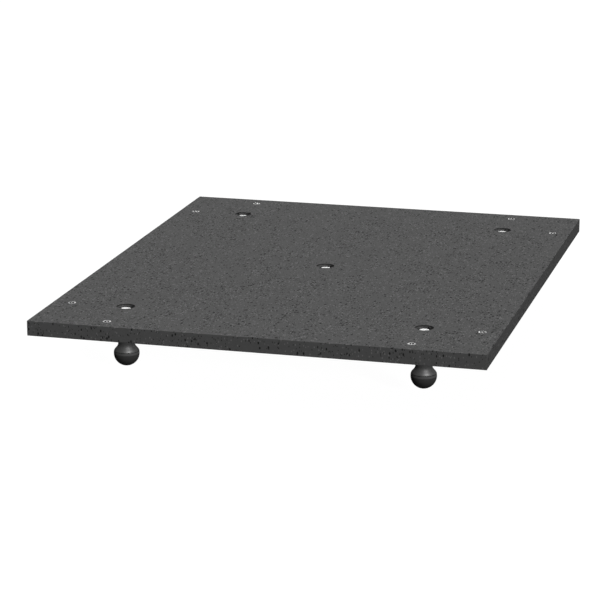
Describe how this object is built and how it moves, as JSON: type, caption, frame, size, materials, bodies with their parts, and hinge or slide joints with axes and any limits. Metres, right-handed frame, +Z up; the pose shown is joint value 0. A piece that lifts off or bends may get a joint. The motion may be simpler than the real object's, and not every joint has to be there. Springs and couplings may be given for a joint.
{
  "type": "stage riser platform",
  "caption": "Low rectangular riser platform: a thick flecked charcoal board on small black ball feet that screw up and down to level it.",
  "frame": {"origin": "on the floor, under the middle of the board", "axes": "+Z up; +Y along the board's longer side, towards the back; +X along its shorter side"},
  "size_m": [0.6, 0.75, 0.08],
  "materials": {
    "deck_board": "matte",
    "foot_rubber": "satin",
    "zinc_steel": "satin",
    "spring_steel": "satin",
    "blackened_steel": "satin",
    "coated_steel": "matte"
  },
  "bodies": {
    "deck": {"deck": "deck_board", "bush_front_left": "blackened_steel", "bush_front_right": "blackened_steel", "bush_back_left": "blackened_steel", "bush_back_right": "blackened_steel", "bush_centre": "blackened_steel", "foot_plate_front_left": "coated_steel", "deck_screw_front_left_side": "zinc_steel", "clinch_nut_front_left_side": "zinc_steel", "deck_screw_front_left_end": "zinc_steel", "clinch_nut_front_left_end": "zinc_steel", "foot_plate_front_right": "coated_steel", "deck_screw_front_right_side": "zinc_steel", "clinch_nut_front_right_side": "zinc_steel", "deck_screw_front_right_end": "zinc_steel", "clinch_nut_front_right_end": "zinc_steel", "foot_plate_back_left": "coated_steel", "deck_screw_back_left_side": "zinc_steel", "clinch_nut_back_left_side": "zinc_steel", "deck_screw_back_left_end": "zinc_steel", "clinch_nut_back_left_end": "zinc_steel", "foot_plate_back_right": "coated_steel", "deck_screw_back_right_side": "zinc_steel", "clinch_nut_back_right_side": "zinc_steel", "deck_screw_back_right_end": "zinc_steel", "clinch_nut_back_right_end": "zinc_steel", "bush_screw_1": "zinc_steel", "bush_screw_2": "zinc_steel", "bush_screw_3": "zinc_steel", "bush_screw_4": "zinc_steel"},
    "foot_front_left": {"foot_front_left": "foot_rubber", "swivel_socket_front_left": "blackened_steel"},
    "spindle_front_left": {"spindle_front_left": "zinc_steel", "retaining_ring_front_left": "spring_steel"},
    "foot_front_right": {"foot_front_right": "foot_rubber", "swivel_socket_front_right": "blackened_steel"},
    "spindle_front_right": {"spindle_front_right": "zinc_steel", "retaining_ring_front_right": "spring_steel"},
    "foot_back_left": {"foot_back_left": "foot_rubber", "swivel_socket_back_left": "blackened_steel"},
    "spindle_back_left": {"spindle_back_left": "zinc_steel", "retaining_ring_back_left": "spring_steel"},
    "foot_back_right": {"foot_back_right": "foot_rubber", "swivel_socket_back_right": "blackened_steel"},
    "spindle_back_right": {"spindle_back_right": "zinc_steel", "retaining_ring_back_right": "spring_steel"},
    "foot_centre": {"foot_centre": "foot_rubber", "swivel_socket_centre": "blackened_steel"},
    "spindle_centre": {"spindle_centre": "zinc_steel", "retaining_ring_centre": "spring_steel"}
  },
  "joints": [
    {"name": "foot_front_left_travel", "type": "slide", "parent": "deck", "child": "foot_front_left", "axis": [0, 0, 1], "range_m": [-0.012, 0.0025]},
    {"name": "spindle_front_left_turn", "type": "hinge", "parent": "foot_front_left", "child": "spindle_front_left", "pos_m": [-0.2, -0.275, 0.04], "axis": [0, 0, 1], "range_deg": [-2160, 450]},
    {"name": "foot_front_right_travel", "type": "slide", "parent": "deck", "child": "foot_front_right", "axis": [0, 0, 1], "range_m": [-0.012, 0.0025]},
    {"name": "spindle_front_right_turn", "type": "hinge", "parent": "foot_front_right", "child": "spindle_front_right", "pos_m": [0.2, -0.275, 0.04], "axis": [0, 0, 1], "range_deg": [-2160, 450]},
    {"name": "foot_back_left_travel", "type": "slide", "parent": "deck", "child": "foot_back_left", "axis": [0, 0, 1], "range_m": [-0.012, 0.0025]},
    {"name": "spindle_back_left_turn", "type": "hinge", "parent": "foot_back_left", "child": "spindle_back_left", "pos_m": [-0.2, 0.275, 0.04], "axis": [0, 0, 1], "range_deg": [-2160, 450]},
    {"name": "foot_back_right_travel", "type": "slide", "parent": "deck", "child": "foot_back_right", "axis": [0, 0, 1], "range_m": [-0.012, 0.0025]},
    {"name": "spindle_back_right_turn", "type": "hinge", "parent": "foot_back_right", "child": "spindle_back_right", "pos_m": [0.2, 0.275, 0.04], "axis": [0, 0, 1], "range_deg": [-2160, 450]},
    {"name": "foot_centre_travel", "type": "slide", "parent": "deck", "child": "foot_centre", "axis": [0, 0, 1], "range_m": [-0.012, 0.0025]},
    {"name": "spindle_centre_turn", "type": "hinge", "parent": "foot_centre", "child": "spindle_centre", "pos_m": [0, 0, 0.04], "axis": [0, 0, 1], "range_deg": [-2160, 450]}
  ],
  "couplings": [
    {"joint": "spindle_front_left_turn", "follows": "foot_front_left_travel", "rad_per_m": 3141.6},
    {"joint": "spindle_front_right_turn", "follows": "foot_front_right_travel", "rad_per_m": 3141.6},
    {"joint": "spindle_back_left_turn", "follows": "foot_back_left_travel", "rad_per_m": 3141.6},
    {"joint": "spindle_back_right_turn", "follows": "foot_back_right_travel", "rad_per_m": 3141.6},
    {"joint": "spindle_centre_turn", "follows": "foot_centre_travel", "rad_per_m": 3141.6}
  ]
}
